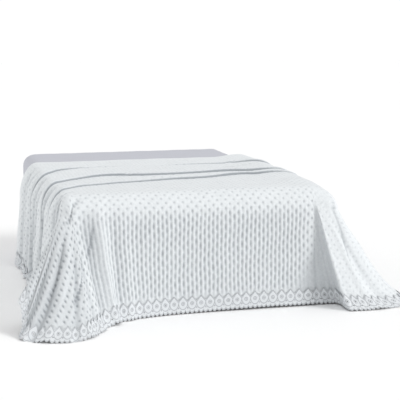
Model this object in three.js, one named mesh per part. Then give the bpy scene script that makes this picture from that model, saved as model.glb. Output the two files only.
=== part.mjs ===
// A quilted coverlet with a lace border, draped over a plain bed. Millimetres, +Z up, +Y towards the head,
// origin on the floor under the middle of the bed.
import * as THREE from "three";

// The bed.
const BED = {
  halfWidth: 698,
  halfLength: 998,
  cornerRadius: 60,
  top: 660,
  baseTop: 360,
  baseInset: 16,
};
const MATTRESS_EDGE_RADIUS = 80;
const BASE_EDGE_RADIUS = 6;
const PIECE_GAP = 0.3;

// The cloth laid flat: u runs across, v from the head edge to the foot hem.
const TOP_HALF = 665; // half of the part that lies flat on the bed
const DROP = 712; // from where the bed's edge begins to the hem
const FOOT_FOLD = 1526; // v where the cloth starts over the foot edge
const HALF_WIDTH = TOP_HALF + DROP;
const LENGTH = FOOT_FOLD + DROP;
const HEM_LENGTH = 2 * LENGTH + 2 * HALF_WIDTH;
const HEAD_Y = 440;
const FOOT_Y = -935;
const CLOTH_HALF_THICK = 1.25;
const LIE = 663.4; // height of the cloth's middle on the bed
const FLOOR_LIFT = 1.6;
const LACE_DEPTH = 95;
const SEAM_GAP = 1.0;
const LACE_HALF_THICK = 0.9;
const MOTIFS_SIDE = 45;
const MOTIFS_FOOT = 54;

// How the cloth falls at points along its hem, from the head end on the left, round the foot, to the head
// end on the right. at: distance along the flat hem. x, y, z: where the hem lies. out, round: how far the
// shoulder stands out from the bed's edge and how far down it turns. bow: 1 falls straight, more hangs
// first and spreads lower. sweep: share of the spread made at the floor.
const FALLS = [
  // at, x, y, z, out, round, bow, sweep
  [0, -820, 432, 10, 114, 232, 1.0, 0.0],
  [60, -812, 390, 7, 110, 218, 1.0, 0.0],
  [150, -800, 312, 5, 104, 204, 1.0, 0.0],
  [300, -786, 172, 4, 100, 190, 1.0, 0.0],
  [520, -802, -30, 4, 102, 190, 1.0, 0.0],
  [760, -790, -236, 4, 102, 190, 1.0, 0.0],
  [1000, -806, -450, 4, 100, 184, 1.0, 0.0],
  [1200, -792, -625, 4, 94, 170, 1.05, 0.0],
  [1400, -800, -770, 5, 84, 146, 1.1, 0.0],
  [1560, -796, -860, 12, 74, 120, 1.2, 0.0],
  [1720, -828, -955, 40, 66, 100, 1.3, 0.0],
  [1880, -886, -1050, 92, 62, 90, 1.3, 0.0],
  [1990, -940, -1126, 146, 62, 86, 1.25, 0.0],
  [2080, -978, -1200, 176, 63, 84, 1.2, 0.0],
  [2150, -968, -1236, 124, 64, 84, 1.1, 0.02],
  [2210, -966, -1262, 76, 66, 86, 1.0, 0.04],
  [2270, -978, -1288, 34, 69, 88, 0.95, 0.08],
  [2340, -990, -1322, 5, 73, 92, 0.95, 0.16],
  [2440, -935, -1393, 3, 79, 97, 0.95, 0.2],
  [2560, -826, -1440, 3, 85, 103, 1.0, 0.22],
  [2660, -728, -1448, 3, 89, 109, 1.1, 0.22],
  [2760, -640, -1400, 3, 92, 114, 1.1, 0.2],
  [2925, -548, -1286, 3, 94, 118, 1.1, 0.16],
  [3085, -473, -1164, 3, 95, 120, 1.15, 0.1],
  [3215, -381, -1104, 3, 95, 120, 1.2, 0.08],
  [3345, -261, -1062, 3, 95, 120, 1.2, 0.05],
  [3495, -118, -1042, 4, 95, 120, 1.2, 0.0],
  [3640, 26, -1036, 8, 95, 120, 1.2, 0.0],
  [3780, 166, -1034, 14, 95, 120, 1.2, 0.0],
  [3923, 309, -1034, 19, 95, 120, 1.2, 0.0],
  [4065, 452, -1034, 19, 95, 118, 1.2, 0.0],
  [4210, 598, -1034, 13, 94, 114, 1.2, 0.0],
  [4335, 728, -1030, 9, 93, 108, 1.15, 0.0],
  [4415, 800, -1034, 5, 92, 104, 1.1, 0.02],
  [4480, 818, -1086, 4, 92, 100, 1.05, 0.04],
  [4590, 822, -1200, 3, 92, 98, 1.0, 0.1],
  [4660, 885, -1220, 3, 94, 97, 1.0, 0.14],
  [4750, 970, -1220, 3, 100, 99, 1.0, 0.18],
  [4895, 1125, -1196, 3, 118, 106, 1.0, 0.24],
  [4980, 1225, -1160, 3, 142, 122, 1.0, 0.26],
  [5080, 1275, -1070, 3, 164, 136, 1.0, 0.24],
  [5200, 1235, -965, 3, 170, 140, 1.0, 0.22],
  [5350, 1090, -890, 3, 162, 124, 1.0, 0.16],
  [5500, 950, -850, 3, 146, 98, 1.0, 0.1],
  [5670, 866, -785, 3, 126, 70, 1.0, 0.04],
  [5870, 835, -655, 4, 112, 50, 1.0, 0.0],
  [6100, 836, -460, 4, 106, 44, 1.0, 0.0],
  [6340, 808, -250, 4, 106, 42, 1.0, 0.0],
  [6580, 834, -30, 4, 108, 42, 1.0, 0.0],
  [6820, 806, 170, 4, 106, 42, 1.0, 0.0],
  [7040, 820, 330, 5, 100, 42, 1.0, 0.0],
  [7230, 814, 436, 12, 92, 42, 1.0, 0.0],
];

// Places across the bed at which the pleats that cross its top are given.
const PLEAT_X = [-1400, -700, -560, -350, -140, 0, 200, 420, 540, 700, 1400];
// y of each pleat at PLEAT_X, then its height there. Each is a low ridge with a steep side to the foot.
const PLEATS = [
  {
    name: "upper",
    y: [-160, -120, 50, 130, 125, 115, 115, 107, 105, 60, 0],
    height: [9, 14, 12, 5, 2, 1, 6, 9, 10, 13, 6],
  },
  {
    name: "middle",
    y: [-520, -500, -385, -272, -308, -308, -282, -255, -282, -305, -320],
    height: [9, 14, 13, 15, 15, 14, 15, 16, 15, 10, 4],
  },
  {
    name: "lower",
    y: [-790, -760, -660, -590, -545, -519, -490, -408, -426, -450, -520],
    height: [8, 12, 11, 11, 12, 13, 15, 17, 15, 9, 3],
  },
];
// Offset from a pleat's crest towards the foot, and the share of its height there.
const PLEAT_SECTION = [
  [-95, 0],
  [-48, 0.42],
  [-14, 0.95],
  [0, 1],
  [11, 0.72],
  [24, 0.05],
  [50, 0],
];

// Soft folds of the hanging part. at: place along the flat hem, top and bottom of the fold. from, to: shares
// of the drop where it grows and where it has grown. width: half its width. rise: outwards, mm.
const FOLDS = [
  // atTop, atHem, from, to, width, rise
  [330, 260, 0.0, 0.35, 60, 12],
  [460, 430, 0.0, 0.3, 55, 12],
  [575, 520, 0.03, 0.3, 50, -14],
  [680, 650, 0.0, 0.3, 55, 11],
  [790, 760, 0.05, 0.35, 50, -11],
  [905, 880, 0.0, 0.35, 60, 8],
  [1020, 960, 0.0, 0.35, 60, 10],
  [1170, 1020, 0.05, 0.35, 60, -13],
  [1310, 1200, 0.0, 0.35, 60, 11],
  [1460, 1480, 0.05, 0.35, 60, -9],
  [2590, 2420, 0.22, 0.55, 60, -14],
  [2690, 2540, 0.22, 0.55, 60, 8],
  [2790, 2680, 0.3, 0.7, 60, -8],
  [2910, 2850, 0.15, 0.5, 60, 9],
  [3005, 2995, 0.15, 0.5, 60, -8],
  [3090, 3090, 0.1, 0.5, 65, 13],
  [3240, 3235, 0.1, 0.6, 60, 6],
  [4340, 4340, 0.15, 0.7, 70, -10],
  [4815, 4775, 0.2, 0.6, 60, 8],
  [4897, 4867, 0.2, 0.6, 50, -8],
  [5770, 5760, 0.0, 0.4, 80, 12],
  [6220, 6210, 0.0, 0.4, 80, 12],
  [6700, 6700, 0.0, 0.4, 80, 12],
];

// The cloth puffs up along the right edge of the bed. width: half its width.
const RIGHT_SWELL = { u: 680, width: 190, rise: 13 };

// Grid lines of the cloth's mesh: across the fall of a side, and rows between pleats.
const OVER_EDGE = [24, 52, 88, 132];
const DOWN_STEPS = 7;
const TOP_COLUMNS = 18;

const lerp = (a, b, k) => a + (b - a) * k;
const clamp = (x, low, high) => Math.min(high, Math.max(low, x));
const smooth = (x) => {
  const k = clamp(x, 0, 1);
  return k * k * (3 - 2 * k);
};

// A smooth curve through (keys, values), with slopes from its neighbours.
function curve(keys, values) {
  const last = keys.length - 1;
  const slope = keys.map((_, i) => {
    const a = Math.max(0, i - 1);
    const b = Math.min(last, i + 1);
    return (values[b] - values[a]) / (keys[b] - keys[a]);
  });
  return (key) => {
    const x = clamp(key, keys[0], keys[last]);
    let i = 0;
    while (i < last - 1 && x > keys[i + 1]) i++;
    const span = keys[i + 1] - keys[i];
    const k = (x - keys[i]) / span;
    const k2 = k * k;
    const k3 = k2 * k;
    return (
      (2 * k3 - 3 * k2 + 1) * values[i] +
      (k3 - 2 * k2 + k) * span * slope[i] +
      (3 * k2 - 2 * k3) * values[i + 1] +
      (k3 - k2) * span * slope[i + 1]
    );
  };
}

const fallAt = FALLS[0].slice(1).map((_, column) =>
  curve(
    FALLS.map((row) => row[0]),
    FALLS.map((row) => row[column + 1]),
  ),
);
const pleats = PLEATS.map((pleat) => ({
  y: curve(PLEAT_X, pleat.y),
  height: curve(PLEAT_X, pleat.height),
}));
const pleatShare = curve(
  PLEAT_SECTION.map((row) => row[0]),
  PLEAT_SECTION.map((row) => row[1]),
);

const yOf = (v) => HEAD_Y + ((FOOT_Y - HEAD_Y) * v) / FOOT_FOLD;
const vOf = (y) => ((y - HEAD_Y) * FOOT_FOLD) / (FOOT_Y - HEAD_Y);

// Where a point of the flat cloth lies: on top, or at a share of a fall that ends at a place on the hem.
function placeOf(u, v) {
  const beyondSide = Math.abs(u) - TOP_HALF;
  const beyondFoot = v - FOOT_FOLD;
  if (beyondSide <= 0 && beyondFoot <= 0) return { share: 0 };
  const sideways = beyondSide > beyondFoot;
  const main = sideways ? beyondSide : beyondFoot;
  const other = sideways ? beyondFoot : beyondSide;
  const along = other > 0 ? (DROP * other) / main : other;
  const fromHead = sideways ? FOOT_FOLD + along : LENGTH + DROP - along;
  return {
    share: main / DROP,
    at: u < 0 ? fromHead : HEM_LENGTH - fromHead,
  };
}

// The way the shoulder of a fall points, in plan: square to an edge, turning round a corner.
function heading(at) {
  const fromHead = at < HEM_LENGTH / 2 ? at : HEM_LENGTH - at;
  const turn = (smooth((fromHead - FOOT_FOLD) / (2 * DROP)) * Math.PI) / 2;
  const side = at < HEM_LENGTH / 2 ? -1 : 1;
  return [side * Math.cos(turn), -Math.sin(turn)];
}

const SHOULDER_STEPS = 6;
const FALL_STEPS = 18;

// The points of a fall from its start on the bed's edge to its hem.
function fallLine(at, x0, y0) {
  const [x, y, z, out, round, bow, sweep] = fallAt.map((f) => f(at));
  const hemZ = Math.max(FLOOR_LIFT, z);
  const [hx, hy] = heading(at);
  const points = [];
  for (let i = 0; i <= SHOULDER_STEPS; i++) {
    const a = (i / SHOULDER_STEPS) * (Math.PI / 2);
    const reach = out * Math.sin(a);
    points.push([
      x0 + hx * reach,
      y0 + hy * reach,
      LIE - round * (1 - Math.cos(a)),
    ]);
  }
  const [sx, sy, sz] = points[SHOULDER_STEPS];
  for (let i = 1; i <= FALL_STEPS; i++) {
    const depth = 1 - (1 - i / FALL_STEPS) ** 1.5;
    const k = (1 - sweep) * depth ** bow + sweep * depth ** 9;
    points.push([lerp(sx, x, k), lerp(sy, y, k), lerp(sz, hemZ, depth)]);
  }
  return points;
}

// The point at a share of a line's length.
function pointAlong(points, share) {
  const lengths = [0];
  for (let i = 1; i < points.length; i++) {
    const [a, b] = [points[i - 1], points[i]];
    lengths.push(
      lengths[i - 1] + Math.hypot(b[0] - a[0], b[1] - a[1], b[2] - a[2]),
    );
  }
  const goal = share * lengths[lengths.length - 1];
  let i = 1;
  while (i < points.length - 1 && lengths[i] < goal) i++;
  const k = (goal - lengths[i - 1]) / (lengths[i] - lengths[i - 1]);
  return points[i - 1].map((c, n) => lerp(c, points[i][n], k));
}

// The cloth's middle surface before its pleats and folds.
function plainDrape(u, v) {
  const { share, at } = placeOf(u, v);
  const x0 = clamp(u, -TOP_HALF, TOP_HALF);
  const y0 = yOf(Math.min(v, FOOT_FOLD));
  if (share === 0) return new THREE.Vector3(x0, y0, LIE);
  return new THREE.Vector3(...pointAlong(fallLine(at, x0, y0), share));
}

// How far the pleats and folds stand out from the plain drape.
function relief(u, v) {
  const { share, at } = placeOf(u, v);
  let rise = 0;
  const fade = 1 - smooth((v - FOOT_FOLD + 60) / 60);
  const reach = u < 0 ? 1 : 1 - smooth(share * 2.5);
  for (const pleat of pleats)
    rise +=
      fade *
      reach *
      pleat.height(u) *
      clampedShare(vOf(pleat.y(u)), v);
  const offSwell = (u - RIGHT_SWELL.u) / RIGHT_SWELL.width;
  if (Math.abs(offSwell) < 1)
    rise += RIGHT_SWELL.rise * (1 - offSwell ** 2) ** 2 * (1 - smooth((v - FOOT_FOLD + 200) / 200));
  if (share > 0)
    for (const [atTop, atHem, from, to, width, height] of FOLDS) {
      const off = (at - lerp(atTop, atHem, share)) / width;
      if (Math.abs(off) < 1)
        rise += height * (1 - off * off) ** 2 * smooth((share - from) / (to - from));
    }
  return rise;
}

function clampedShare(crest, v) {
  const off = v - crest;
  const [first, last] = [PLEAT_SECTION[0][0], PLEAT_SECTION.at(-1)[0]];
  return off <= first || off >= last ? 0 : pleatShare(off);
}

const NORMAL_STEP = 5;

function normalAt(surface, u, v) {
  const across = surface(u + NORMAL_STEP, v).sub(surface(u - NORMAL_STEP, v));
  const along = surface(u, v + NORMAL_STEP).sub(surface(u, v - NORMAL_STEP));
  return along.cross(across).normalize();
}

function drape(u, v) {
  const point = plainDrape(u, v);
  const rise = relief(u, v);
  if (rise) point.addScaledVector(normalAt(plainDrape, u, v), rise);
  point.z = Math.max(point.z, FLOOR_LIFT);
  return point;
}

// A closed solid from a sheet's vertices, each with a point and a normal, and its triangles.
function thickened(vertices, triangles, halfThick, material, name) {
  const positions = [];
  const put = (vertex, side) => {
    const p = vertex.point.clone().addScaledVector(vertex.normal, side * halfThick);
    positions.push(p.x, p.y, p.z);
  };
  const edges = new Map();
  for (const [a, b, c] of triangles) {
    for (const i of [a, b, c]) put(vertices[i], 1);
    for (const i of [c, b, a]) put(vertices[i], -1);
    for (const [i, j] of [
      [a, b],
      [b, c],
      [c, a],
    ]) {
      if (edges.has(j + "," + i)) edges.delete(j + "," + i);
      else edges.set(i + "," + j, [i, j]);
    }
  }
  for (const [i, j] of edges.values()) {
    const [a, b] = [vertices[i], vertices[j]];
    put(a, -1), put(b, -1), put(b, 1);
    put(a, -1), put(b, 1), put(a, 1);
  }
  const geometry = new THREE.BufferGeometry();
  geometry.setAttribute("position", new THREE.Float32BufferAttribute(positions, 3));
  geometry.computeVertexNormals();
  const mesh = new THREE.Mesh(geometry, material);
  mesh.name = name;
  return mesh;
}

// Distances down a fall where the panel has grid lines.
const PANEL_DROP = DROP - LACE_DEPTH - SEAM_GAP;
const DOWN = OVER_EDGE.slice();
for (let i = 1; i <= DOWN_STEPS; i++)
  DOWN.push(lerp(OVER_EDGE.at(-1), PANEL_DROP, i / DOWN_STEPS));

function panelColumns() {
  const right = [];
  for (let i = 0; i <= TOP_COLUMNS / 2; i++) right.push((2 * i * TOP_HALF) / TOP_COLUMNS);
  for (const d of DOWN) right.push(TOP_HALF + d);
  return [...right.slice(1).reverse().map((u) => -u), ...right];
}

// The v of every grid row at u: rows that follow the pleats on the bed, then rows down the foot.
function panelRows(u) {
  const rows = [0];
  for (const pleat of pleats) {
    const crest = vOf(pleat.y(u));
    const gap = crest - 95 - rows.at(-1);
    const between = rows.length === 1 ? 8 : 2;
    const from = rows.at(-1);
    for (let i = 1; i <= between; i++) rows.push(from + (gap * i) / between);
    for (const off of [-48, -8, 12, 24, 50]) rows.push(crest + off);
  }
  const from = rows.at(-1);
  for (let i = 1; i <= 3; i++) rows.push(lerp(from, FOOT_FOLD, i / 3));
  for (const d of DOWN) rows.push(FOOT_FOLD + d);
  return rows;
}

function coverletMesh(columns, rowsAt, material) {
  const grid = columns.map((u, i) =>
    rowsAt[i].map((v) => ({ point: drape(u, v), normal: normalAt(drape, u, v) })),
  );
  const rows = rowsAt[0].length;
  const triangles = [];
  const index = (i, j) => i * rows + j;
  for (let i = 0; i + 1 < columns.length; i++)
    for (let j = 0; j + 1 < rows; j++) {
      const [a, b] = [index(i, j), index(i + 1, j)];
      const [c, d] = [index(i + 1, j + 1), index(i, j + 1)];
      if (columns[i] < 0) triangles.push([a, d, b], [b, d, c]);
      else triangles.push([a, d, c], [a, c, b]);
    }
  return thickened(grid.flat(), triangles, CLOTH_HALF_THICK, material, "coverlet");
}

// Places along the hem of the panel's outer grid points, so that the lace meets the same facets.
function seamPlaces(columns, rowsAt) {
  const last = columns.length - 1;
  const corner = DROP / PANEL_DROP;
  const side = (v) => (v > FOOT_FOLD ? FOOT_FOLD + (v - FOOT_FOLD) * corner : v);
  const foot = (u) =>
    LENGTH + HALF_WIDTH + Math.sign(u) * (Math.abs(u) > TOP_HALF
      ? TOP_HALF + (Math.abs(u) - TOP_HALF) * corner
      : Math.abs(u));
  return [
    ...rowsAt[0].map(side),
    ...columns.slice(1, last).map(foot),
    ...rowsAt[last].map((v) => HEM_LENGTH - side(v)).reverse(),
  ];
}

// The flat cloth's point at a place along the hem and a distance down the drop.
function flatAt(at, down) {
  const left = at < HEM_LENGTH / 2;
  const fromHead = left ? at : HEM_LENGTH - at;
  const sign = left ? -1 : 1;
  if (fromHead <= LENGTH) {
    const beyond = fromHead - FOOT_FOLD;
    const v = beyond > 0 ? FOOT_FOLD + (beyond * down) / DROP : fromHead;
    return [sign * (TOP_HALF + down), v];
  }
  const beyond = LENGTH + DROP - fromHead;
  const u = beyond > 0 ? TOP_HALF + (beyond * down) / DROP : TOP_HALF + beyond;
  return [sign * u, FOOT_FOLD + down];
}

// One strip of the border. Its points lie on the facets between the panel's grid lines, drawn on to the hem.
function laceMesh(name, start, end, motifs, seams, material) {
  const downs = [DROP - LACE_DEPTH, DROP - LACE_DEPTH / 2, DROP];
  const frames = seams.map((at) =>
    downs.map((down) => {
      const [u, v] = flatAt(at, down);
      return { point: drape(u, v), normal: normalAt(drape, u, v) };
    }),
  );
  const mixed = (a, b, k) => ({
    point: a.point.clone().lerp(b.point, k),
    normal: a.normal.clone().lerp(b.normal, k).normalize(),
  });
  const vertices = [];
  const known = new Map();
  const vertexAt = (at, down) => {
    const key = at.toFixed(3) + "," + down.toFixed(3);
    if (known.has(key)) return known.get(key);
    let i = 0;
    while (i < seams.length - 2 && at > seams[i + 1]) i++;
    const k = clamp((at - seams[i]) / (seams[i + 1] - seams[i]), 0, 1);
    const row = down < downs[1] ? 0 : 1;
    const m = (down - downs[row]) / (downs[row + 1] - downs[row]);
    const near = mixed(frames[i][row], frames[i][row + 1], m);
    const far = mixed(frames[i + 1][row], frames[i + 1][row + 1], m);
    known.set(key, vertices.length);
    vertices.push(mixed(near, far, k));
    return vertices.length - 1;
  };
  const pitch = (end - start) / motifs;
  const triangles = [];
  for (let m = 0; m < motifs; m++) {
    const from = start + m * pitch;
    const to = from + pitch;
    const between = seams.filter((at) => at > from + 0.5 && at < to - 0.5);
    const outline = [
      ...[from, ...between, to].map((at) => [at, downs[0]]),
      [to, DROP - 4],
      [from + 0.5 * pitch, DROP],
      [from, DROP - 4],
    ];
    const diamond = (centre, down, wide, tall) => [
      [centre - wide, down],
      [centre, down - tall],
      [centre + wide, down],
      [centre, down + tall],
    ];
    const holes = [
      diamond(from + 0.36 * pitch, DROP - 50, 9, 10),
      diamond(from + 0.82 * pitch, DROP - 26, 5, 6),
    ];
    const toVectors = (loop) => loop.map(([a, b]) => new THREE.Vector2(a, b));
    const all = [outline, ...holes].flat();
    const faces = THREE.ShapeUtils.triangulateShape(
      toVectors(outline),
      holes.map(toVectors),
    );
    for (const face of faces) {
      const [a, b, c] = face.map((i) => vertexAt(...all[i]));
      const [pa, pb, pc] = face.map((i) => all[i]);
      const turn =
        (pb[0] - pa[0]) * (pc[1] - pa[1]) - (pb[1] - pa[1]) * (pc[0] - pa[0]);
      triangles.push(turn < 0 ? [a, b, c] : [a, c, b]);
    }
  }
  return thickened(vertices, triangles, LACE_HALF_THICK, material, name);
}

// A box with rounded upright corners and rounded top and bottom edges.
function roundedSlab(name, halfX, halfY, z0, z1, cornerRadius, edgeRadius, material) {
  const CORNER_STEPS = 6;
  const EDGE_STEPS = 4;
  const rings = [];
  const ring = (inset, z) => {
    const radius = cornerRadius - inset * 0.6;
    const points = [];
    for (let corner = 0; corner < 4; corner++) {
      const sx = corner === 0 || corner === 3 ? 1 : -1;
      const sy = corner < 2 ? 1 : -1;
      for (let i = 0; i <= CORNER_STEPS; i++) {
        const a = ((corner + i / CORNER_STEPS) * Math.PI) / 2;
        points.push([
          sx * (halfX - inset - radius) + radius * Math.cos(a),
          sy * (halfY - inset - radius) + radius * Math.sin(a),
          z,
        ]);
      }
    }
    rings.push(points);
  };
  for (let i = 0; i <= EDGE_STEPS; i++) {
    const a = (i / EDGE_STEPS) * (Math.PI / 2);
    ring(edgeRadius * (1 - Math.sin(a)), z0 + edgeRadius * (1 - Math.cos(a)));
  }
  for (let i = 0; i <= EDGE_STEPS; i++) {
    const a = (i / EDGE_STEPS) * (Math.PI / 2);
    ring(edgeRadius * (1 - Math.cos(a)), z1 - edgeRadius * (1 - Math.sin(a)));
  }
  const positions = [];
  const put = (...points) => points.forEach((p) => positions.push(...p));
  const count = rings[0].length;
  for (let r = 0; r + 1 < rings.length; r++)
    for (let i = 0; i < count; i++) {
      const j = (i + 1) % count;
      put(rings[r][i], rings[r][j], rings[r + 1][j]);
      put(rings[r][i], rings[r + 1][j], rings[r + 1][i]);
    }
  const [bottom, top] = [rings[0], rings.at(-1)];
  for (let i = 1; i + 1 < count; i++) {
    put(bottom[0], bottom[i + 1], bottom[i]);
    put(top[0], top[i], top[i + 1]);
  }
  const geometry = new THREE.BufferGeometry();
  geometry.setAttribute("position", new THREE.Float32BufferAttribute(positions, 3));
  geometry.computeVertexNormals();
  const mesh = new THREE.Mesh(geometry, material);
  mesh.name = name;
  return mesh;
}

const fabric = (color, roughness) =>
  new THREE.MeshStandardMaterial({ color, roughness, metalness: 0 });
const quiltMaterial = fabric(0xe6ebee, 0.9);
const laceMaterial = fabric(0xeef1f4, 0.85);
const sheetMaterial = fabric(0xd9dae2, 0.8);
const baseMaterial = fabric(0xc9ccd2, 0.9);

const columns = panelColumns();
const rowsAt = columns.map(panelRows);
const seams = seamPlaces(columns, rowsAt);
const LEFT_END = LENGTH - PIECE_GAP / 2;
const RIGHT_START = HEM_LENGTH - LENGTH + PIECE_GAP / 2;

const part = new THREE.Group();
part.name = "coverlet_on_bed";
part.add(
  roundedSlab(
    "bed_base",
    BED.halfWidth - BED.baseInset,
    BED.halfLength - BED.baseInset,
    0,
    BED.baseTop,
    BED.cornerRadius,
    BASE_EDGE_RADIUS,
    baseMaterial,
  ),
  roundedSlab(
    "mattress",
    BED.halfWidth,
    BED.halfLength,
    BED.baseTop + PIECE_GAP,
    BED.top,
    BED.cornerRadius,
    MATTRESS_EDGE_RADIUS,
    sheetMaterial,
  ),
  coverletMesh(columns, rowsAt, quiltMaterial),
  laceMesh("lace_left", 0, LEFT_END, MOTIFS_SIDE, seams, laceMaterial),
  laceMesh(
    "lace_foot",
    LENGTH + PIECE_GAP / 2,
    HEM_LENGTH - LENGTH - PIECE_GAP / 2,
    MOTIFS_FOOT,
    seams,
    laceMaterial,
  ),
  laceMesh("lace_right", RIGHT_START, HEM_LENGTH, MOTIFS_SIDE, seams, laceMaterial),
);

export default part;
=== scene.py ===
"""A quilted coverlet with a lace border over a plain bed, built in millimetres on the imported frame."""

from math import cos, pi, radians, sin

import bpy
import numpy as np
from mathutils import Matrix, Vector


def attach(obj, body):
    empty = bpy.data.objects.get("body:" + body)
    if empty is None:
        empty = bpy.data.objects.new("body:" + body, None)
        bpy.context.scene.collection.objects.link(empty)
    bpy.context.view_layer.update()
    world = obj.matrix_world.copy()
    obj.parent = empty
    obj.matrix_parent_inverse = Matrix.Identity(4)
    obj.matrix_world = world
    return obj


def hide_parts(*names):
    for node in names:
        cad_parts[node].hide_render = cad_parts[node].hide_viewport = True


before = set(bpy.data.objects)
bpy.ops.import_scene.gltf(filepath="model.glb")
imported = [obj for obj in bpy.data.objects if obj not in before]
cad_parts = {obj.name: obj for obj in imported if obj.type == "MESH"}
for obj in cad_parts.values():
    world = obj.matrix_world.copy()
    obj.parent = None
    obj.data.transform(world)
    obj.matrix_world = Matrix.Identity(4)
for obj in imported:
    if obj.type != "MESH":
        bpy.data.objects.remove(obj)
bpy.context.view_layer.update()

MM = 0.001

# The bed and the flat cloth, as in the part's source. u runs across, v from the head edge to the foot hem.
TOP_HALF = 665
DROP = 712
FOOT_FOLD = 1526
HALF_WIDTH = TOP_HALF + DROP
LENGTH = FOOT_FOLD + DROP
HEM_LENGTH = 2 * LENGTH + 2 * HALF_WIDTH
HEAD_Y, FOOT_Y = 440, -935
# Heights of the cloth's middle surface where it lies on the mattress and on the floor.
LIE = 663.4
FLOOR_LIFT = 1.6

# Quilting: stitched dips in columns, every other column half a pitch lower. They are long where the cloth
# hangs straight and round elsewhere.
COLUMN, PITCH = 23.5, 50.0
DIP_WIDE, DIP_ROUND, DIP_LONG, DIP_DEEP = 0.20, 0.11, 0.40, 7.0
# Width of the plain hem along the head edge.
HEAD_HEM = 42

# Border: one motif is a pointed medallion with a ring in it. Heights are from the hem up.
MOTIFS_SIDE, MOTIFS_FOOT = 45, 54
LACE_PEAK, LACE_VALLEY = 98.0, 69.0
LACE_BELOW_PANEL = 62
PANEL_DROP = DROP - LACE_BELOW_PANEL
# How far the lace stands out from the drape, and how far the panel is set back behind it.
LACE_PROUD, PANEL_BACK = 1.5, 3.4
# The panel goes back over this width, from this far above the lace's points.
LAP_ABOVE, LAP_WIDTH = 8, 12

# How the cloth falls at places along its hem, from the head end on the left round the foot.
FALLS = [
    # at, x, y, z, out, round, bow, sweep
    (0, -820, 432, 10, 114, 232, 1.0, 0.0),
    (60, -812, 390, 7, 110, 218, 1.0, 0.0),
    (150, -800, 312, 5, 104, 204, 1.0, 0.0),
    (300, -786, 172, 4, 100, 190, 1.0, 0.0),
    (520, -802, -30, 4, 102, 190, 1.0, 0.0),
    (760, -790, -236, 4, 102, 190, 1.0, 0.0),
    (1000, -806, -450, 4, 100, 184, 1.0, 0.0),
    (1200, -792, -625, 4, 94, 170, 1.05, 0.0),
    (1400, -800, -770, 5, 84, 146, 1.1, 0.0),
    (1560, -796, -860, 12, 74, 120, 1.2, 0.0),
    (1720, -828, -955, 40, 66, 100, 1.3, 0.0),
    (1880, -886, -1050, 92, 62, 90, 1.3, 0.0),
    (1990, -940, -1126, 146, 62, 86, 1.25, 0.0),
    (2080, -978, -1200, 176, 63, 84, 1.2, 0.0),
    (2150, -968, -1236, 124, 64, 84, 1.1, 0.02),
    (2210, -966, -1262, 76, 66, 86, 1.0, 0.04),
    (2270, -978, -1288, 34, 69, 88, 0.95, 0.08),
    (2340, -990, -1322, 5, 73, 92, 0.95, 0.16),
    (2440, -935, -1393, 3, 79, 97, 0.95, 0.2),
    (2560, -826, -1440, 3, 85, 103, 1.0, 0.22),
    (2660, -728, -1448, 3, 89, 109, 1.1, 0.22),
    (2760, -640, -1400, 3, 92, 114, 1.1, 0.2),
    (2925, -548, -1286, 3, 94, 118, 1.1, 0.16),
    (3085, -473, -1164, 3, 95, 120, 1.15, 0.1),
    (3215, -381, -1104, 3, 95, 120, 1.2, 0.08),
    (3345, -261, -1062, 3, 95, 120, 1.2, 0.05),
    (3495, -118, -1042, 4, 95, 120, 1.2, 0.0),
    (3640, 26, -1036, 5, 95, 120, 1.2, 0.0),
    (3780, 166, -1034, 8, 95, 120, 1.2, 0.0),
    (3923, 309, -1034, 10, 95, 120, 1.2, 0.0),
    (4065, 452, -1034, 10, 95, 118, 1.2, 0.0),
    (4210, 598, -1034, 8, 94, 114, 1.2, 0.0),
    (4335, 728, -1030, 6, 93, 108, 1.15, 0.0),
    (4415, 800, -1034, 5, 92, 104, 1.1, 0.02),
    (4480, 818, -1086, 4, 92, 100, 1.05, 0.04),
    (4590, 822, -1200, 3, 92, 98, 1.0, 0.1),
    (4660, 885, -1220, 3, 94, 97, 1.0, 0.14),
    (4750, 970, -1220, 3, 100, 99, 1.0, 0.18),
    (4895, 1125, -1196, 3, 118, 106, 1.0, 0.24),
    (4980, 1225, -1160, 3, 142, 122, 1.0, 0.26),
    (5080, 1275, -1070, 3, 164, 136, 1.0, 0.24),
    (5200, 1235, -965, 3, 170, 140, 1.0, 0.22),
    (5350, 1090, -890, 3, 162, 124, 1.0, 0.16),
    (5500, 950, -850, 3, 146, 98, 1.0, 0.1),
    (5670, 866, -785, 3, 126, 70, 1.0, 0.04),
    (5870, 835, -655, 4, 112, 50, 1.0, 0.0),
    (6100, 836, -460, 4, 106, 44, 1.0, 0.0),
    (6340, 808, -250, 4, 106, 42, 1.0, 0.0),
    (6580, 834, -30, 4, 108, 42, 1.0, 0.0),
    (6820, 806, 170, 4, 106, 42, 1.0, 0.0),
    (7040, 820, 330, 5, 100, 42, 1.0, 0.0),
    (7230, 814, 436, 12, 92, 42, 1.0, 0.0),
]

# Places across the bed at which the pleats that cross its top are given.
PLEAT_X = [-1400, -700, -560, -350, -140, 0, 200, 420, 540, 700, 1400]
# y of each pleat's crest at PLEAT_X, then its height there.
PLEATS = [
    (
        [-160, -120, 50, 130, 125, 115, 115, 107, 105, 60, 0],
        [9, 14, 12, 5, 2, 1, 6, 9, 10, 13, 6],
    ),
    (
        [-520, -500, -385, -272, -308, -308, -282, -255, -282, -305, -320],
        [9, 14, 13, 15, 15, 14, 15, 16, 15, 10, 4],
    ),
    (
        [-790, -760, -660, -590, -545, -519, -490, -408, -426, -450, -520],
        [8, 12, 11, 11, 12, 13, 15, 17, 15, 9, 3],
    ),
]
# Offset from a crest towards the foot, and the share of its height there. The foot side tucks under.
PLEAT_SECTION = [
    # offset, share
    (-95, 0),
    (-48, 0.42),
    (-12, 0.95),
    (0, 1),
    (7, 0.8),
    (13, 0.12),
    (19, -0.14),
    (34, 0),
    (50, 0),
]
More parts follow.
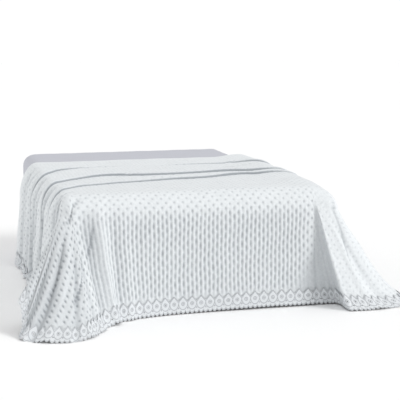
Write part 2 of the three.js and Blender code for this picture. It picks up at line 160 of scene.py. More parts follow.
# Painted shade along the line where a pleat of this height tucks under: its offset from the crest and its
# width.
PLEAT_SHADE_LINE = {"offset": 13, "width": 4, "height": 12}
# Width of the strip along the foot edge in which the pleats die out.
PLEAT_END = 60
# How fast the pleats fade down each side, and the share of their height that is lost on the left.
PLEAT_FADE = {"left": 2, "right": 2.5, "left_loss": 0.7}
# Offsets from a crest at which the panel has rows of points, and its rows before each pleat and the foot.
PLEAT_ROWS = [-95, -70, -48, -30, -18, -9, -3, 3, 7, 10, 13, 16, 21, 28, 38, 50]
ROWS_BETWEEN = [32, 14, 10, 18]

# Painted shade along a sunk fold: per millimetre of depth past a shallow one, over a share of its half
# width.
FOLD_SHADE = {"dark": 0.03, "shallow": 4, "width": 0.7}
# Soft folds of the hanging part, by place along the flat hem and share of the drop.
FOLDS = [
    # at_top, at_hem, from, to, width, rise
    (150, 120, 0.0, 0.3, 40, 10),
    (235, 170, 0.0, 0.2, 44, -24),
    (330, 260, 0.0, 0.35, 45, 13),
    (395, 320, 0.0, 0.2, 44, -26),
    (460, 425, 0.0, 0.3, 40, 16),
    (572, 480, 0.0, 0.2, 50, -34),
    (672, 640, 0.0, 0.3, 46, 14),
    (772, 690, 0.0, 0.2, 50, -34),
    (845, 825, 0.0, 0.35, 38, 9),
    (915, 850, 0.05, 0.3, 44, -30),
    (1010, 960, 0.0, 0.3, 55, 13),
    (1175, 1015, 0.0, 0.2, 50, -34),
    (1250, 1130, 0.0, 0.3, 34, 8),
    (1330, 1230, 0.0, 0.25, 40, -24),
    (1400, 1340, 0.0, 0.3, 50, 12),
    (1480, 1450, 0.0, 0.25, 44, -26),
    (1600, 1640, 0.05, 0.4, 34, 9),
    (1690, 1740, 0.05, 0.4, 26, -16),
    (2120, 2080, 0.3, 0.6, 24, -8),
    (2190, 2140, 0.3, 0.6, 26, 7),
    (2270, 2200, 0.25, 0.6, 24, -9),
    (2340, 2260, 0.25, 0.6, 26, 6),
    (2410, 2320, 0.25, 0.6, 22, -8),
    (2490, 2370, 0.3, 0.6, 34, 7),
    (2585, 2420, 0.2, 0.5, 36, -20),
    (2660, 2510, 0.2, 0.5, 44, 10),
    (2775, 2665, 0.28, 0.6, 36, -14),
    (2850, 2760, 0.2, 0.6, 40, 8),
    (2930, 2870, 0.2, 0.6, 30, -10),
    (3010, 3000, 0.1, 0.4, 44, -14),
    (3090, 3092, 0.05, 0.4, 54, 27),
    (3165, 3165, 0.08, 0.5, 28, -8),
    (3225, 3225, 0.1, 0.6, 34, 7),
    (3290, 3290, 0.1, 0.6, 24, -4),
    (4310, 4310, 0.15, 0.6, 24, -5),
    (4390, 4400, 0.15, 0.7, 26, 4),
    (4450, 4470, 0.15, 0.7, 24, -4),
    (4600, 4604, 0.1, 0.4, 26, 9),
    (4815, 4775, 0.2, 0.6, 50, 8),
    (4897, 4867, 0.2, 0.6, 40, -8),
    (5770, 5760, 0.0, 0.4, 80, 12),
    (5990, 6000, 0.1, 0.5, 45, -9),
    (6220, 6210, 0.0, 0.4, 80, 12),
    (6460, 6480, 0.1, 0.5, 45, -9),
    (6700, 6700, 0.0, 0.4, 80, 12),
    (6930, 6910, 0.1, 0.5, 45, -8),
]
# Drag wrinkles from one flat point to another. Each bends by a share of its length and thins at its ends.
WRINKLE_BEND, WRINKLE_THIN = 0.06, 0.3
# Painted shade along a sunk wrinkle for each millimetre of depth, and the width of its shaded line.
WRINKLE_SHADE, WRINKLE_CREASE = 0.09, 5
WRINKLES = [
    # u0, v0, u1, v1, half width, rise
    (-640, 1830, -900, 2060, 26, -10),
    (-600, 1560, -800, 1700, 20, -9),
    (-640, 1530, -860, 1640, 18, 6),
    (-690, 1520, -900, 1590, 16, -8),
    (-560, 1700, -640, 1900, 16, -7),
    (-620, 1440, -760, 1470, 16, -8),
    (-640, 1340, -770, 1380, 14, -4),
    (-600, 1100, -740, 1130, 14, -4),
    (-330, 905, -60, 745, 22, -5),
    (-300, 1000, 120, 940, 20, 4),
    (-540, 830, -380, 760, 18, -4),
    (380, 600, 690, 520, 24, -5),
    (450, 420, 700, 300, 24, 5),
    (500, 980, 700, 860, 18, -4),
    (640, 1250, 760, 1330, 22, -4),
    (760, 1600, 1000, 2000, 18, -5),
    (820, 1590, 1090, 1950, 18, 5),
    (870, 1570, 1180, 1900, 16, -5),
    (930, 1545, 1260, 1850, 16, 4),
    (980, 1700, 1330, 2080, 15, -4),
]
# The cloth puffs up along the right edge of the bed, and less in the last stretch before the foot.
RIGHT_SWELL = {"u": 680, "width": 190, "rise": 13, "end": 200}
# Slow unevenness of the whole cloth. For each way: length, then strength and length of its wander.
BILLOWS = {"height": 1.3, "x": (61, 1.9, 143), "y": (77, 1.4, 119)}
# Lowest relief on the bed, so that the cloth stays clear of the mattress, and how fast that eases on a fall.
LOWEST, LOWEST_EASE = -0.8, 250


def smooth(x):
    """0 up to 0, 1 from 1 on, and an even ease between."""
    k = np.clip(x, 0, 1)
    return k * k * (3 - 2 * k)


def curve(keys, values):
    """A smooth curve through (keys, values), with slopes from its neighbours."""
    keys, values = np.array(keys, float), np.array(values, float)
    n = len(keys)
    below, above = np.maximum(np.arange(n) - 1, 0), np.minimum(np.arange(n) + 1, n - 1)
    slopes = (values[above] - values[below]) / (keys[above] - keys[below])

    def at(x):
        x = np.clip(x, keys[0], keys[-1])
        i = np.clip(np.searchsorted(keys, x) - 1, 0, n - 2)
        span = keys[i + 1] - keys[i]
        k = (x - keys[i]) / span
        return (
            (2 * k**3 - 3 * k**2 + 1) * values[i]
            + (k**3 - 2 * k**2 + k) * span * slopes[i]
            + (3 * k**2 - 2 * k**3) * values[i + 1]
            + (k**3 - k**2) * span * slopes[i + 1]
        )

    return at


FALL_CURVES = [curve([row[0] for row in FALLS], [row[i] for row in FALLS]) for i in range(1, 8)]
PLEAT_CURVES = [(curve(PLEAT_X, y), curve(PLEAT_X, height)) for y, height in PLEATS]
PLEAT_SHARE = curve(*zip(*PLEAT_SECTION))


def y_of(v):
    return HEAD_Y + (FOOT_Y - HEAD_Y) * v / FOOT_FOLD


def v_of(y):
    return (y - HEAD_Y) * FOOT_FOLD / (FOOT_Y - HEAD_Y)


def place_of(u, v):
    """Share of the fall at a flat point, and the place on the hem where that fall ends."""
    beyond_side, beyond_foot = np.abs(u) - TOP_HALF, v - FOOT_FOLD
    sideways = beyond_side > beyond_foot
    main = np.where(sideways, beyond_side, beyond_foot)
    other = np.where(sideways, beyond_foot, beyond_side)
    along = np.where(other > 0, DROP * other / np.maximum(main, 1e-6), other)
    from_head = np.where(sideways, FOOT_FOLD + along, LENGTH + DROP - along)
    return np.maximum(main, 0) / DROP, np.where(u < 0, from_head, HEM_LENGTH - from_head)


# Straight pieces of a falling line round the bed's edge and below it.
SHOULDER_STEPS, FALL_STEPS = 10, 44


def fall_points(share, at, x0, y0):
    """Points at shares of the lines that fall from (x0, y0) on the bed's edge to the hem."""
    x, y, z, out, drop, bow, sweep = (f(at)[:, None] for f in FALL_CURVES)
    from_head = np.minimum(at, HEM_LENGTH - at)
    side = np.where(at < HEM_LENGTH / 2, -1, 1)
    turn = smooth((from_head - FOOT_FOLD) / (2 * DROP)) * pi / 2
    a = np.linspace(0, pi / 2, SHOULDER_STEPS + 1)[None]
    reach = out * np.sin(a)
    top = np.stack(
        [
            x0[:, None] + (side * np.cos(turn))[:, None] * reach,
            y0[:, None] - np.sin(turn)[:, None] * reach,
            LIE - drop * (1 - np.cos(a)),
        ],
        axis=2,
    )
    depth = (1 - (1 - np.arange(1, FALL_STEPS + 1) / FALL_STEPS) ** 1.5)[None]
    k = (1 - sweep) * depth**bow + sweep * depth**9
    end = top[:, -1]
    hem_z = np.maximum(FLOOR_LIFT, z)
    rest = np.stack(
        [
            end[:, 0:1] + (x - end[:, 0:1]) * k,
            end[:, 1:2] + (y - end[:, 1:2]) * k,
            end[:, 2:3] + (hem_z - end[:, 2:3]) * depth,
        ],
        axis=2,
    )
    line = np.concatenate([top, rest], axis=1)
    steps = np.linalg.norm(np.diff(line, axis=1), axis=2)
    lengths = np.concatenate([np.zeros((len(line), 1)), np.cumsum(steps, axis=1)], axis=1)
    goal = share * lengths[:, -1]
    i = np.clip((lengths < goal[:, None]).sum(axis=1), 1, line.shape[1] - 1)
    rows = np.arange(len(line))
    k = ((goal - lengths[rows, i - 1]) / (lengths[rows, i] - lengths[rows, i - 1]))[:, None]
    return line[rows, i - 1] * (1 - k) + line[rows, i] * k


# Falls are worked out this many at a time, to save memory.
CHUNK = 16000


def plain_drape(u, v):
    """The cloth's middle surface before its pleats, folds and quilting."""
    share, at = place_of(u, v)
    x0 = np.clip(u, -TOP_HALF, TOP_HALF).astype(float)
    y0 = y_of(np.minimum(v, FOOT_FOLD))
    points = np.stack([x0, y0, np.full(len(x0), LIE)], axis=1)
    falling = np.flatnonzero(share > 0)
    for start in range(0, len(falling), CHUNK):
        f = falling[start : start + CHUNK]
        points[f] = fall_points(share[f], at[f], x0[f], y0[f])
    return points


# Distance to the flat points either side of one from which its normal is taken.
NORMAL_STEP = 5


def normals_at(u, v):
    """The drape's outward normals at flat places."""
    across = plain_drape(u + NORMAL_STEP, v) - plain_drape(u - NORMAL_STEP, v)
    along = plain_drape(u, v + NORMAL_STEP) - plain_drape(u, v - NORMAL_STEP)
    normal = np.cross(along, across)
    return normal / np.linalg.norm(normal, axis=1)[:, None]


def crease(off, width):
    """Painted shade of the narrow line along the bottom of a fold."""
    return np.exp(-((off / width) ** 2))


def pleat_relief(u, v, share):
    """Rise of the pleats, and the painted shade along the line where one tucks under."""
    rise, tuck = np.zeros(len(u)), np.zeros(len(u))
    left = 1 - PLEAT_FADE["left_loss"] * smooth(share * PLEAT_FADE["left"])
    right = 1 - smooth(share * PLEAT_FADE["right"])
    down_side = np.where(u < 0, left, right)
    reach = (1 - smooth((v - FOOT_FOLD + PLEAT_END) / PLEAT_END)) * down_side
    fading = 1 - 0.6 * smooth(share * 2.5)
    for y, height in PLEAT_CURVES:
        off = v - v_of(y(u))
        inside = (off > PLEAT_SECTION[0][0]) & (off < PLEAT_SECTION[-1][0])
        rise += np.where(inside, reach * height(u) * PLEAT_SHARE(off), 0)
        line = crease(off - PLEAT_SHADE_LINE["offset"], PLEAT_SHADE_LINE["width"])
        tuck += reach * (height(u) / PLEAT_SHADE_LINE["height"]) ** 1.4 * fading * line
    return rise, tuck


def wrinkle_relief(u, v):
    """Rise of the drag wrinkles, and the painted shade along the sunk ones."""
    rise, tuck = np.zeros(len(u)), np.zeros(len(u))
    for u0, v0, u1, v1, half_width, height in WRINKLES:
        length = np.hypot(u1 - u0, v1 - v0)
        way_u, way_v = (u1 - u0) / length, (v1 - v0) / length
        along = ((u - u0) * way_u + (v - v0) * way_v) / length
        bend = WRINKLE_BEND * length * np.sin(pi * np.clip(along, 0, 1))
        off = (v - v0) * way_u - (u - u0) * way_v + bend
        ends = smooth(along / WRINKLE_THIN) * smooth((1 - along) / WRINKLE_THIN)
        rise += height * np.clip(1 - (off / half_width) ** 2, 0, 1) ** 2 * ends
        tuck += WRINKLE_SHADE * max(-height, 0) * crease(off, WRINKLE_CREASE) * ends
    return rise, tuck


def uneven_waves(x, y, waves):
    """Waves whose crests wander."""
    length_x, strength_x, wander_x = waves["x"]
    length_y, strength_y, wander_y = waves["y"]
    wave_x = np.sin(x / length_x + strength_x * np.sin(y / wander_x))
    wave_y = np.sin(y / length_y + strength_y * np.sin(x / wander_y))
    return waves["height"] * wave_x * wave_y


def relief(u, v):
    """Height of the pleats, folds and wrinkles above the plain drape, and the painted shade in their
    creases.
    """
    share, at = place_of(u, v)
    rise, tuck = pleat_relief(u, v, share)
    wrinkle_rise, wrinkle_tuck = wrinkle_relief(u, v)
    off = (u - RIGHT_SWELL["u"]) / RIGHT_SWELL["width"]
    end = RIGHT_SWELL["end"]
    swell = np.clip(1 - off**2, 0, 1) ** 2 * (1 - smooth((v - FOOT_FOLD + end) / end))
    rise += RIGHT_SWELL["rise"] * swell + wrinkle_rise + uneven_waves(u, v, BILLOWS)
    tuck += wrinkle_tuck
    for at_top, at_hem, start, full, width, height in FOLDS:
        off = at - (at_top + (at_hem - at_top) * share)
        grown = np.where(share > 0, smooth((share - start) / (full - start)), 0)
        rise += height * np.clip(1 - (off / width) ** 2, 0, 1) ** 2 * grown
        dark = FOLD_SHADE["dark"] * max(-height - FOLD_SHADE["shallow"], 0)
        tuck += dark * crease(off, FOLD_SHADE["width"] * width) * grown * (1 - 0.5 * share)
    return np.maximum(rise, LOWEST - LOWEST_EASE * share), tuck


def lattice_place(u, v):
    """Flat places as the quilting sees them: its rows wander a little."""
    wander_u = 2.2 * np.sin(v / 97 + np.sin(u / 83)) + 1.2 * np.sin(v / 31 + u / 53)
    wander_v = 3.0 * np.sin(u / 109 + np.sin(v / 91)) + 1.6 * np.sin(u / 37 - v / 59)
    return u + wander_u, v + wander_v


def hanging(u, v):
    """1 on the straight hanging part of the foot, 0 on the bed, the sides and the corners."""
    return smooth((v - FOOT_FOLD - 110) / 110) * (1 - smooth((np.abs(u) - 570) / 110))


def quilting(u, v, tall):
    """Depth of the stitched dips at lattice places: 0 on the puffs, 1 at the stitches."""
    depth = np.zeros(len(u))
    nearest = np.round(u / COLUMN)
    for step in (-1, 0, 1):
        column = nearest + step
        across = u / COLUMN - column
        down = v / PITCH + 0.5 * np.mod(column, 2)
        down -= np.round(down)
        for row in (-1, 0, 1):
            depth += np.exp(-((across / DIP_WIDE) ** 2) / 2 - (((down - row) / tall) ** 2) / 2)
    return np.minimum(depth, 1)


def behind_lace(u, v):
    """0 on the open cloth, 1 where the lace lies over it."""
    down = np.maximum(np.abs(u) - TOP_HALF, v - FOOT_FOLD)
    return smooth((down - (DROP - LACE_PEAK - LAP_ABOVE)) / LAP_WIDTH)


# Quilting on the flat top is this share of its depth on the falls, and it loses these shares elsewhere.
QUILT_ON_TOP = 0.45
QUILT_LOSS = {"right": 0.62, "left": 0.3, "tuck": 0.8, "hollow": 0.85, "ridge": 0.6, "lace": 0.85}
# Strength of the painted shade on the right corner's hollow and on the left fan.
HOLLOW_SHADE, FAN_SHADE = 0.3, 0.17
# Places on the hem: the left fan, the bright ridge between it and the foot, and the hollow at the right.
FAN_FROM, FAN_TO = 1950, 2860
RIDGE_AT, RIDGE_WIDTH = 3075, 50
HOLLOW_FROM, HOLLOW_TO = 4290, 4560


def quilt_strength(u, v, tuck):
    """How deep the quilting is, and the painted shade on the right corner's hollow and the left fan."""
    share, at = place_of(u, v)
    right, left = smooth((u - TOP_HALF + 30) / 80), smooth((-u - TOP_HALF + 30) / 80)
    strength = QUILT_ON_TOP + (1 - QUILT_ON_TOP) * smooth(share / 0.35)
    strength *= 1 - QUILT_LOSS["right"] * right
    strength *= 1 - QUILT_LOSS["left"] * left * (1 - smooth((v - 1300) / 200))
    strength *= 1 - QUILT_LOSS["tuck"] * np.minimum(tuck, 1)
    hollow_from = HOLLOW_FROM - 150 * smooth((share - 0.35) / 0.5)
    hollow = smooth((at - hollow_from) / 110) * (1 - smooth((at - HOLLOW_TO) / 50))
    hollow *= smooth((share - 0.12) / 0.15)
    strength *= 1 - QUILT_LOSS["hollow"] * hollow
    fan = smooth((at - FAN_FROM) / 150) * (1 - smooth((at - FAN_TO) / 140))
    fan *= smooth((share - 0.1) / 0.25)
    shade = HOLLOW_SHADE * hollow + FAN_SHADE * fan
    ridge = crease(at - RIDGE_AT, RIDGE_WIDTH) * smooth((share - 0.15) / 0.25)
    strength *= (1 - QUILT_LOSS["ridge"] * ridge) * smooth((v - HEAD_HEM) / 8)
    return strength * (1 - QUILT_LOSS["lace"] * behind_lace(u, v)), shade


def cloth_points(u, v, proud=0.0):
    """Points of the cloth at flat places, raised along its normal, and the painted shade at each."""
    rise, tuck = relief(u, v)
    points = plain_drape(u, v) + normals_at(u, v) * (rise + proud)[:, None]
    points[:, 2] = np.maximum(points[:, 2], FLOOR_LIFT)
    return points, tuck


def mesh_object(name, points, faces, flat=None, **amounts):
    """A smooth-shaded mesh in metres. flat goes to a UV map, amounts to attributes on its points."""
    mesh = bpy.data.meshes.new(name)
    mesh.from_pydata((np.asarray(points) * MM).tolist(), [], list(faces))
    mesh.polygons.foreach_set("use_smooth", np.ones(len(mesh.polygons), bool))
    if flat is not None:
        corners = np.zeros(len(mesh.loops), np.int32)
        mesh.loops.foreach_get("vertex_index", corners)
        uv = mesh.uv_layers.new(name="flat")
        uv.uv.foreach_set("vector", (np.asarray(flat)[corners] * MM).astype(np.float32).ravel())
    for key, values in amounts.items():
        layer = mesh.attributes.new(key, "FLOAT", "POINT")
        layer.data.foreach_set("value", np.asarray(values, np.float32))
    mesh.update()
    thing = bpy.data.objects.new(name, mesh)
    bpy.context.scene.collection.objects.link(thing)
    return thing


def grid_faces(across, down):
    """Quads of a grid whose points are numbered down each column."""
    i, j = np.meshgrid(np.arange(across - 1), np.arange(down - 1), indexing="ij")
    a = (i * down + j).ravel()
    b, c, d = a + down, a + down + 1, a + 1
    return np.stack([a, d, c, b], axis=1)


def panel_rows(u):
    """v of every grid row at each u: rows that follow the pleats, then rows down the foot."""
    rows = [np.zeros(len(u))]
    for (y, _), between in zip(PLEAT_CURVES, ROWS_BETWEEN):
        crest, last = v_of(y(u)), rows[-1]
        rows += [last + (crest + PLEAT_ROWS[0] - last) * i / between for i in range(1, between + 1)]
        rows += [crest + off for off in PLEAT_ROWS[1:]]
    last = rows[-1]
    rows += [last + (FOOT_FOLD - last) * i / ROWS_BETWEEN[-1] for i in range(1, ROWS_BETWEEN[-1] + 1)]
    steps = int(PANEL_DROP / (PITCH / 4))
    rows += [np.full(len(u), FOOT_FOLD + PANEL_DROP * i / steps) for i in range(1, steps + 1)]
    return np.stack(rows, axis=1)


def build_panel():
    """The quilted panel, its dips raised in its points."""
    reach = TOP_HALF + PANEL_DROP
    count = int(2 * reach / (COLUMN / 4))
    columns = np.linspace(-reach, reach, count)
    rows = panel_rows(columns)
    u, v = np.repeat(columns, rows.shape[1]), rows.ravel()
    points, tuck = cloth_points(u, v, -PANEL_BACK * behind_lace(u, v))
    lattice_u, lattice_v = lattice_place(u, v)
    straight = hanging(u, v)
    tall = DIP_ROUND + (DIP_LONG - DIP_ROUND + 0.2 * (1 - smooth((u + 540) / 130))) * straight
    strength, shade = quilt_strength(u, v, tuck)
    dips = quilting(lattice_u, lattice_v, tall)
    points += normals_at(u, v) * (DIP_DEEP * strength * (0.35 - dips))[:, None]
    points[:, 2] = np.maximum(points[:, 2], FLOOR_LIFT)
    faces = grid_faces(len(columns), rows.shape[1]).tolist()
    flat = np.stack([lattice_u, lattice_v], axis=1)
    # The painted shade of the creases, the hollow and the fan goes to one attribute.
    return mesh_object("coverlet_cloth", points, faces, flat, tuck=tuck + shade, quilt=strength, tall=tall)


def flat_at(at, down):
    """The flat cloth's point at a place along the hem and a distance down the drop."""
    from_head = np.minimum(at, HEM_LENGTH - at)
    side = np.where(at < HEM_LENGTH / 2, -1, 1)
    past_fold = np.maximum(from_head - FOOT_FOLD, 0)
    v_side = np.where(from_head > FOOT_FOLD, FOOT_FOLD + past_fold * down / DROP, from_head)
    short_of_fold = LENGTH + DROP - from_head
    u_foot = TOP_HALF + np.where(short_of_fold > 0, short_of_fold * down / DROP, short_of_fold)
    on_side = from_head <= LENGTH
    return (
        side * np.where(on_side, TOP_HALF + down, u_foot),
        np.where(on_side, v_side, FOOT_FOLD + down),
    )


MOTIF_COLUMNS, MOTIF_ROWS = 20, 36
# Heights of the medallion's tip, widest place and foot, and the mean radius of its round lower part.
MEDALLION = {"tip": 93, "middle": 60, "foot": 22, "radius": 29}
RING = {"up": 54, "radius": 9.0, "hole": 3.6}
GAP = {"up": 31, "radius": 3.6}
# Grid points this near a hole's edge are pulled onto it, and cells this far inside it are left out.
HOLE_PULL, HOLE_INSIDE = 1.25, 0.4
SCALLOP = 12.0
# Height of the groove above the scallops, and half the width of a groove and its depth. The grooves are
# darkened with painted shade.
RIM = 5.5
LINE, LINE_DEPTH = 1.7, 1.2


def motif(half):
    """One motif's grid, across and up from the hem, its distances from the lines and its kept cells."""
    a = np.linspace(-half, half, MOTIF_COLUMNS + 1)
    low = SCALLOP * (1 - np.abs(np.cos(a / half * pi)) ** 0.6)
    high = LACE_VALLEY + (LACE_PEAK - LACE_VALLEY) * (1 - np.abs(a) / half)
    share = np.linspace(0, 1, MOTIF_ROWS + 1)
    up = low[:, None] + (high - low)[:, None] * share[None]
    across = np.repeat(a[:, None], MOTIF_ROWS + 1, axis=1)
    holes = [
        (0, RING["up"], RING["hole"]),
        (-half, GAP["up"], GAP["radius"]),
        (half, GAP["up"], GAP["radius"]),
    ]
    edge = np.abs(np.abs(across) - half) < 1e-6
    for centre_a, centre_up, radius in holes:
        da, du = across - centre_a, up - centre_up
        distance = np.maximum(np.hypot(da, du), 1e-6)
        pull = np.where(np.abs(distance - radius) < HOLE_PULL, radius / distance, 1)
        across = np.where(edge, across, centre_a + da * pull)
        up = centre_up + du * pull
    mid_a = (across[:-1, :-1] + across[1:, :-1] + across[1:, 1:] + across[:-1, 1:]) / 4
    mid_up = (up[:-1, :-1] + up[1:, :-1] + up[1:, 1:] + up[:-1, 1:]) / 4
    kept = np.ones((MOTIF_COLUMNS, MOTIF_ROWS), bool)
    for centre_a, centre_up, radius in holes:
        kept &= np.hypot(mid_a - centre_a, mid_up - centre_up) > radius - HOLE_INSIDE
    du = up - MEDALLION["middle"]
    above, below = MEDALLION["tip"] - MEDALLION["middle"], MEDALLION["middle"] - MEDALLION["foot"]
    pointed = (np.abs(across) / half + du / above - 1) / np.hypot(1 / half, 1 / above)
    rounded = (np.hypot(across / half, du / below) - 1) * MEDALLION["radius"]
    lines = {
        "outline": np.where(du > 0, pointed, rounded),
        "ring": np.hypot(across, up - RING["up"]) - RING["radius"],
        "rim": up - low[:, None] - RIM,
        "crown": high[:, None] - up,
    }
    return across, up, lines, kept


def build_lace(name, start, end, motifs):
    """A strip of lace between two places on the hem."""
    half = (end - start) / motifs / 2
    across, up, lines, kept = motif(half)
    centres = start + half * (2 * np.arange(motifs) + 1)
    at = (centres[:, None, None] + across[None]).ravel()
    down = np.broadcast_to(DROP - up, (motifs, *up.shape)).ravel()
    u, v = flat_at(at, down)
    lines = {key: np.broadcast_to(away, (motifs, *away.shape)).ravel() for key, away in lines.items()}
    nearest = np.minimum(np.abs(lines["outline"]), np.abs(lines["ring"]))
    points, _ = cloth_points(u, v, LACE_PROUD)
    points -= normals_at(u, v) * (LINE_DEPTH * np.exp(-((nearest / 2) ** 2)))[:, None]
    points[:, 2] = np.maximum(points[:, 2], FLOOR_LIFT)
    quads = grid_faces(*up.shape)[kept.ravel()]
    faces = (np.arange(motifs)[:, None, None] * up.size + quads[None]).reshape(-1, 4)
    flat = np.stack([at, DROP - down], axis=1)
    return mesh_object(name, points, faces.tolist(), flat, **lines)


def rounded_outline(half_x, half_y, radius, corner_steps, side_step):
    """Points round a rectangle with rounded corners, with their outward ways."""
    points, ways = [], []
    corners = [(1, 1), (-1, 1), (-1, -1), (1, -1)]
    centres = [np.array([x * (half_x - radius), y * (half_y - radius)]) for x, y in corners]
    for corner, centre in enumerate(centres):
        for i in range(corner_steps + 1):
            a = (corner + i / corner_steps) * pi / 2
            way = np.array([cos(a), sin(a)])
            points.append(centre + radius * way)
            ways.append(way)
        first, goal = points[-1], centres[(corner + 1) % 4] + radius * way
        steps = int(np.linalg.norm(goal - first) / side_step)
        for i in range(1, steps):
            points.append(first + (goal - first) * i / steps)
            ways.append(way)
    return np.array(points), np.array(ways)


# A slab's outline: steps round each corner and the length of a step along a side.
CORNER_STEPS, SIDE_STEP = 12, 22
# Its profile: steps round the lower edge, the height of a step up the wall and steps round the rim.
FOOT_STEPS, WALL_STEP, RIM_STEPS = 6, 14, 8
SOLE_RINGS, CAP_RINGS = 5, 29
# Share of a ring's inset that its corners' radius loses.
CORNER_LOSS = 0.6


def build_slab(name, half_x, half_y, z0, z1, corner, edge, wrinkles):
    """A rounded block. wrinkles(points) gives how far each point stands out."""
    corner_centre = [half_x - corner, half_y - corner]
    outline, ways = rounded_outline(half_x, half_y, corner, CORNER_STEPS, SIDE_STEP)
    profile = []
    for i in range(FOOT_STEPS + 1):
        a = i / FOOT_STEPS * pi / 2
        profile.append((edge * (1 - sin(a)), z0 + edge * (1 - cos(a)), 0))
    wall = z1 - z0 - 2 * edge
    steps = int(wall / WALL_STEP)
    profile += [(0, z0 + edge + wall * i / steps, 0) for i in range(1, steps)]
    for i in range(RIM_STEPS + 1):
        a = i / RIM_STEPS * pi / 2
        profile.append((edge * (1 - cos(a)), z1 - edge * (1 - sin(a)), a))
    count = len(outline)
    inward = CORNER_LOSS * ways + (1 - CORNER_LOSS) * np.clip(outline / corner_centre, -1, 1)
    rings = [np.column_stack([outline - inward * inset, np.full(count, z)]) for inset, z, _ in profile]
    top, bottom = rings[-1], rings[0]
    cap = [top * [1 - k, 1 - k, 1] for k in np.linspace(0, 1, CAP_RINGS + 1)[1:-1]]
    sole = [bottom * [k, k, 1] for k in np.linspace(0, 1, SOLE_RINGS + 1)[1:-1]]
    rings = sole + rings + cap
    points = np.concatenate([*rings, [[0, 0, z0]], [[0, 0, z1]]])
    tilts = [0] * len(sole) + [tilt for _, _, tilt in profile] + [pi / 2] * len(cap)
    out = [np.column_stack([ways * cos(tilt), np.full(count, sin(tilt))]) for tilt in tilts]
    out = np.concatenate([*out, [[0, 0, 0]], [[0, 0, 1]]])
    points += out * wrinkles(points)[:, None]
    i, j = np.meshgrid(np.arange(len(rings) - 1), np.arange(count), indexing="ij")
    a, b = (i * count + j).ravel(), (i * count + (j + 1) % count).ravel()
    faces = np.stack([a, b, b + count, a + count], axis=1).tolist()
    last = (len(rings) - 1) * count
    foot, head = len(points) - 2, len(points) - 1
    faces += [[foot, (j + 1) % count, j] for j in range(count)]
    faces += [[head, last + j, last + (j + 1) % count] for j in range(count)]
    return mesh_object(name, points, faces)


SHEET_DRAGS = {"height": 0.8, "x": (29, 1.7, 83), "y": (37, 1.3, 71)}
GATHER_HEIGHT = 1.6
BASE_DRAG = 0.5


def sheet_wrinkles(points):
    """Faint drags of a fitted sheet, stronger at the corners and low on the sides."""
    x, y, z = points.T
    corner = smooth(np.abs(x) / 160 - 3.2) * smooth(np.abs(y) / 160 - 5)
    low = smooth((480 - z) / 110)
    gather = np.sin((x + y) / 13 + np.sin(y / 47))
    gathers = GATHER_HEIGHT * gather * low * (0.35 + corner)
    return uneven_waves(x, y, SHEET_DRAGS) + gathers - SHEET_DRAGS["height"]


def base_wrinkles(points):
    """Slight unevenness of the base's cloth."""
    x, y, z = points.T
    return BASE_DRAG * np.sin(x / 61 + np.sin(y / 90)) * np.sin(z / 71) - BASE_DRAG


class Shader:
    """Builds one procedural material. Inputs are numbers, colours or sockets of other nodes."""

    def __init__(self, name, roughness, sheen):
        self.material = bpy.data.materials.new(name)
        self.material.use_nodes = True
        self.tree = self.material.node_tree
        self.body = self.tree.nodes["Principled BSDF"]
        self.body.inputs["Roughness"].default_value = roughness
        self.body.inputs["Sheen Weight"].default_value = sheen
        self.body.inputs["Sheen Roughness"].default_value = 0.5

    def feed(self, socket, value):
        if isinstance(value, bpy.types.NodeSocket):
            self.tree.links.new(value, socket)
        else:
            socket.default_value = value

    def math(self, operation, a, b=0.0, c=0.0):
        node = self.tree.nodes.new("ShaderNodeMath")
        node.operation = operation
        for socket, value in zip(node.inputs, (a, b, c)):
            self.feed(socket, value)
        return node.outputs[0]

    def attribute(self, name):
        node = self.tree.nodes.new("ShaderNodeAttribute")
        node.attribute_name = name
        return node.outputs["Fac"]

    def flat(self):
        node = self.tree.nodes.new("ShaderNodeUVMap")
        node.uv_map = "flat"
        split = self.tree.nodes.new("ShaderNodeSeparateXYZ")
        self.tree.links.new(node.outputs[0], split.inputs[0])
        return split.outputs[0], split.outputs[1]

    def place(self):
        return self.tree.nodes.new("ShaderNodeTexCoord").outputs["Object"]

    def noise(self, vector, scale, detail=3.0):
        node = self.tree.nodes.new("ShaderNodeTexNoise")
        self.feed(node.inputs["Vector"], vector)
        node.inputs["Scale"].default_value = scale
        node.inputs["Detail"].default_value = detail
        return node.outputs["Fac"]

    def mix(self, factor, a, b):
        node = self.tree.nodes.new("ShaderNodeMix")
        node.data_type = "RGBA"
        self.feed(node.inputs[0], factor)
        self.feed(node.inputs[6], a)
        self.feed(node.inputs[7], b)
        return node.outputs[2]

    def finish(self, colour, height):
        """height in millimetres."""
        self.feed(self.body.inputs["Base Color"], colour)
        bump = self.tree.nodes.new("ShaderNodeBump")
        bump.inputs["Distance"].default_value = MM
        self.feed(bump.inputs["Height"], height)
        self.tree.links.new(bump.outputs[0], self.body.inputs["Normal"])
        return self.material

    def weave(self, x, y, pitch):
        """A plain weave: threads over and under each other, 0 to 1."""
        wave_x = self.math("SINE", self.math("MULTIPLY", x, 2 * pi / (pitch * MM)))
        wave_y = self.math("SINE", self.math("MULTIPLY", y, 2 * pi / (pitch * MM)))
        return self.math("MULTIPLY_ADD", self.math("MULTIPLY", wave_x, wave_y), 0.5, 0.5)


QUILT_COLOUR = (0.825, 0.855, 0.872, 1)
# The colour that the painted shade in the dips, creases, hollow and fan mixes towards, as do the random tone
# and the crinkle.
QUILT_SHADE_AND_TONE = (0.34, 0.365, 0.39, 1)
LACE_COLOUR = (0.765, 0.79, 0.81, 1)
NET_COLOUR = (0.69, 0.72, 0.745, 1)
# Painted shade in the lace's grooves.
GROOVE_SHADE_COLOUR = (0.22, 0.235, 0.26, 1)
SHEET_COLOUR = (0.52, 0.53, 0.585, 1)
BASE_COLOUR = (0.60, 0.62, 0.66, 1)
